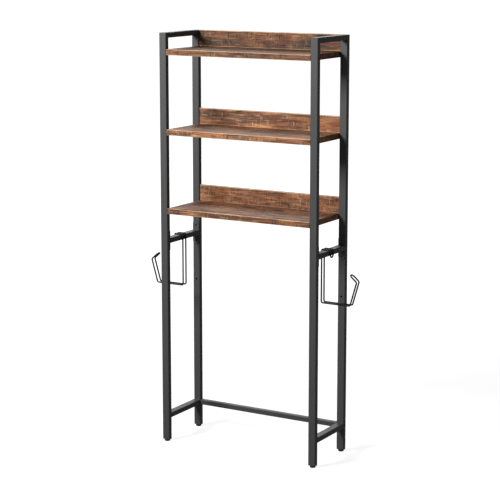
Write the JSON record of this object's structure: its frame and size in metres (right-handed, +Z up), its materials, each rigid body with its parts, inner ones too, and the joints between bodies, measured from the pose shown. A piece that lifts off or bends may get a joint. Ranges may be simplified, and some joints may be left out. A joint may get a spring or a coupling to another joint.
{
  "type": "over the toilet storage rack",
  "caption": "Free-standing over-toilet rack: two steel tube side frames on levelling feet, board shelves with rear rails, a rear cross bar, and hook-on wire roll holders.",
  "frame": {"origin": "on the floor under the middle of the rack", "axes": "+Z up, front faces -Y, left side frame on -X"},
  "size_m": [0.9096, 0.252, 1.6],
  "materials": {
    "powder_coated_steel": "fine-textured matt dark grey powder coat on steel tube",
    "powder_coated_wire": "satin dark grey powder coat on bent steel wire",
    "rustic_board": "particle board in a rustic oak print laminate, matt",
    "blackened_screw": "black-coated socket screws",
    "zinc_plated_steel": "bright zinc plate",
    "black_plastic": "moulded black polyamide"
  },
  "bodies": {
    "rack": {"lower_left_front_post": "powder_coated_steel", "lower_left_rear_post": "powder_coated_steel", "lower_right_front_post": "powder_coated_steel", "lower_right_rear_post": "powder_coated_steel", "upper_left_front_post": "powder_coated_steel", "upper_left_rear_post": "powder_coated_steel", "upper_right_front_post": "powder_coated_steel", "upper_right_rear_post": "powder_coated_steel", "top_left_bar": "powder_coated_steel", "top_right_bar": "powder_coated_steel", "middle_left_bar": "powder_coated_steel", "middle_right_bar": "powder_coated_steel", "middle_left_front_plate": "powder_coated_steel", "middle_left_rear_plate": "powder_coated_steel", "middle_right_front_plate": "powder_coated_steel", "middle_right_rear_plate": "powder_coated_steel", "lower_left_bar": "powder_coated_steel", "lower_right_bar": "powder_coated_steel", "lower_rear_bar": "powder_coated_steel", "left_front_post_sleeve": "zinc_plated_steel", "left_rear_post_sleeve": "zinc_plated_steel", "right_front_post_sleeve": "zinc_plated_steel", "right_rear_post_sleeve": "zinc_plated_steel", "sleeve_nuts": "zinc_plated_steel", "plate_screws": "blackened_screw", "rear_bar_blocks": "zinc_plated_steel", "rear_bar_screws": "blackened_screw", "bottom_shelf": "rustic_board", "middle_shelf": "rustic_board", "top_shelf": "rustic_board", "bottom_shelf_rail": "rustic_board", "middle_shelf_rail": "rustic_board", "top_shelf_rail": "rustic_board", "shelf_screws": "blackened_screw", "shelf_inserts": "zinc_plated_steel", "rail_screws": "zinc_plated_steel", "left_front_foot_insert": "black_plastic", "left_rear_foot_insert": "black_plastic", "right_front_foot_insert": "black_plastic", "right_rear_foot_insert": "black_plastic"},
    "left_holder": {"left_roll_holder": "powder_coated_wire"},
    "right_holder": {"right_roll_holder": "powder_coated_wire"},
    "left_front_foot": {"left_front_foot_pad": "black_plastic", "left_front_foot_stud": "zinc_plated_steel"},
    "left_rear_foot": {"left_rear_foot_pad": "black_plastic", "left_rear_foot_stud": "zinc_plated_steel"},
    "right_front_foot": {"right_front_foot_pad": "black_plastic", "right_front_foot_stud": "zinc_plated_steel"},
    "right_rear_foot": {"right_rear_foot_pad": "black_plastic", "right_rear_foot_stud": "zinc_plated_steel"}
  },
  "joints": [
    {"name": "left_holder_slide", "type": "slide", "parent": "rack", "child": "left_holder", "axis": [0, 1, 0], "range_m": [-0.075, 0.097]},
    {"name": "right_holder_slide", "type": "slide", "parent": "rack", "child": "right_holder", "axis": [0, 1, 0], "range_m": [-0.075, 0.097]},
    {"name": "left_front_foot_height", "type": "slide", "parent": "rack", "child": "left_front_foot", "axis": [0, 0, -1], "range_m": [0, 0.012]},
    {"name": "left_rear_foot_height", "type": "slide", "parent": "rack", "child": "left_rear_foot", "axis": [0, 0, -1], "range_m": [0, 0.012]},
    {"name": "right_front_foot_height", "type": "slide", "parent": "rack", "child": "right_front_foot", "axis": [0, 0, -1], "range_m": [0, 0.012]},
    {"name": "right_rear_foot_height", "type": "slide", "parent": "rack", "child": "right_rear_foot", "axis": [0, 0, -1], "range_m": [0, 0.012]}
  ]
}
